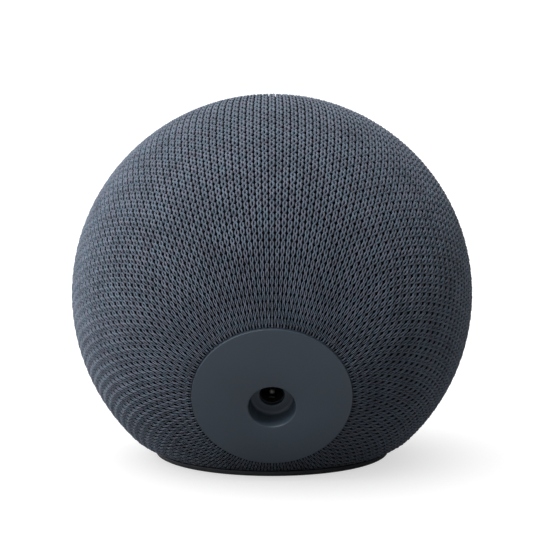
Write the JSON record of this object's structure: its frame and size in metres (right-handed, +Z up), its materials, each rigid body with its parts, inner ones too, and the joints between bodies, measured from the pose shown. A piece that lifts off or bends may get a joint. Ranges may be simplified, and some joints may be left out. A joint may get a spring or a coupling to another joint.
{
  "type": "smart speaker",
  "caption": "Ball-shaped desktop smart speaker with a knitted sleeve, a tilted control panel with a light ring, and a round rear cover around a recessed power socket.",
  "frame": {"origin": "centre of the underside, on the table, straight below the middle of the ball", "axes": "+Z up, the front with the control panel faces -Y, the rear cover with the power socket faces +Y, +X is on the right as seen from the front"},
  "size_m": [0.1086, 0.1083, 0.0985],
  "materials": {
    "knit": "matte",
    "graphite_plastic": "matte",
    "shell_plastic": "matte",
    "black_plastic": "matte",
    "diffuser": "satin",
    "rubber": "matte",
    "steel": "satin",
    "nickel": "satin",
    "ferrite": "matte",
    "aluminium": "satin",
    "circuit_board": "satin",
    "cone_paper": "matte",
    "copper": "satin",
    "spider_cloth": "matte",
    "foam": "matte",
    "thermal_pad": "matte",
    "flex_film": "satin"
  },
  "bodies": {
    "speaker": {"fabric_cover": "knit", "front_shell": "shell_plastic", "rear_shell": "shell_plastic", "base_plate": "black_plastic", "foot_ring": "rubber", "base_screw_1": "steel", "base_screw_2": "steel", "base_screw_3": "steel", "base_screw_4": "steel", "rear_cover": "graphite_plastic", "socket_housing": "black_plastic", "socket_pin": "nickel", "socket_contact": "nickel", "socket_board": "circuit_board", "control_panel": "graphite_plastic", "light_ring": "diffuser", "volume_down_switch": "steel", "mute_switch": "steel", "volume_up_switch": "steel", "mic_gasket_left": "foam", "mic_gasket_right": "foam", "control_board": "circuit_board", "panel_screw_1": "steel", "panel_screw_2": "steel", "panel_screw_3": "steel", "speaker_enclosure": "black_plastic", "woofer_basket": "steel", "woofer_top_plate": "steel", "woofer_magnet": "ferrite", "woofer_yoke": "steel", "woofer_gasket": "foam", "woofer_screw_1": "steel", "woofer_screw_2": "steel", "woofer_screw_3": "steel", "woofer_screw_4": "steel", "woofer_surround": "rubber", "woofer_spider": "spider_cloth", "tweeter_frame": "black_plastic", "tweeter_magnet": "ferrite", "tweeter_dome": "cone_paper", "main_board": "circuit_board", "board_shield": "nickel", "thermal_pad": "thermal_pad", "heat_sink": "aluminium", "board_screw_1": "steel", "board_screw_2": "steel", "board_screw_3": "steel", "wifi_antenna_left": "flex_film", "wifi_antenna_right": "flex_film", "ribbon_cable": "flex_film", "power_lead": "black_plastic"},
    "volume_down_key": {"volume_down_button": "graphite_plastic"},
    "mute_key": {"mute_button": "graphite_plastic"},
    "volume_up_key": {"volume_up_button": "graphite_plastic"},
    "woofer_diaphragm": {"woofer_cone": "cone_paper", "woofer_dust_cap": "cone_paper", "woofer_voice_coil": "copper"}
  },
  "joints": [
    {"name": "volume_down_press", "type": "slide", "parent": "speaker", "child": "volume_down_key", "axis": [0, 0.9178, -0.3972], "range_m": [0, 0.0006], "stiffness_N_per_m": 300, "springref_m": -0.003},
    {"name": "mute_press", "type": "slide", "parent": "speaker", "child": "mute_key", "axis": [0, 0.9178, -0.3972], "range_m": [0, 0.0006], "stiffness_N_per_m": 300, "springref_m": -0.003},
    {"name": "volume_up_press", "type": "slide", "parent": "speaker", "child": "volume_up_key", "axis": [0, 0.9178, -0.3972], "range_m": [0, 0.0006], "stiffness_N_per_m": 300, "springref_m": -0.003},
    {"name": "woofer_stroke", "type": "slide", "parent": "speaker", "child": "woofer_diaphragm", "axis": [0, 0, 1], "range_m": [-0.0025, 0.0025], "stiffness_N_per_m": 1200, "deforming": ["woofer_surround", "woofer_spider"]}
  ]
}
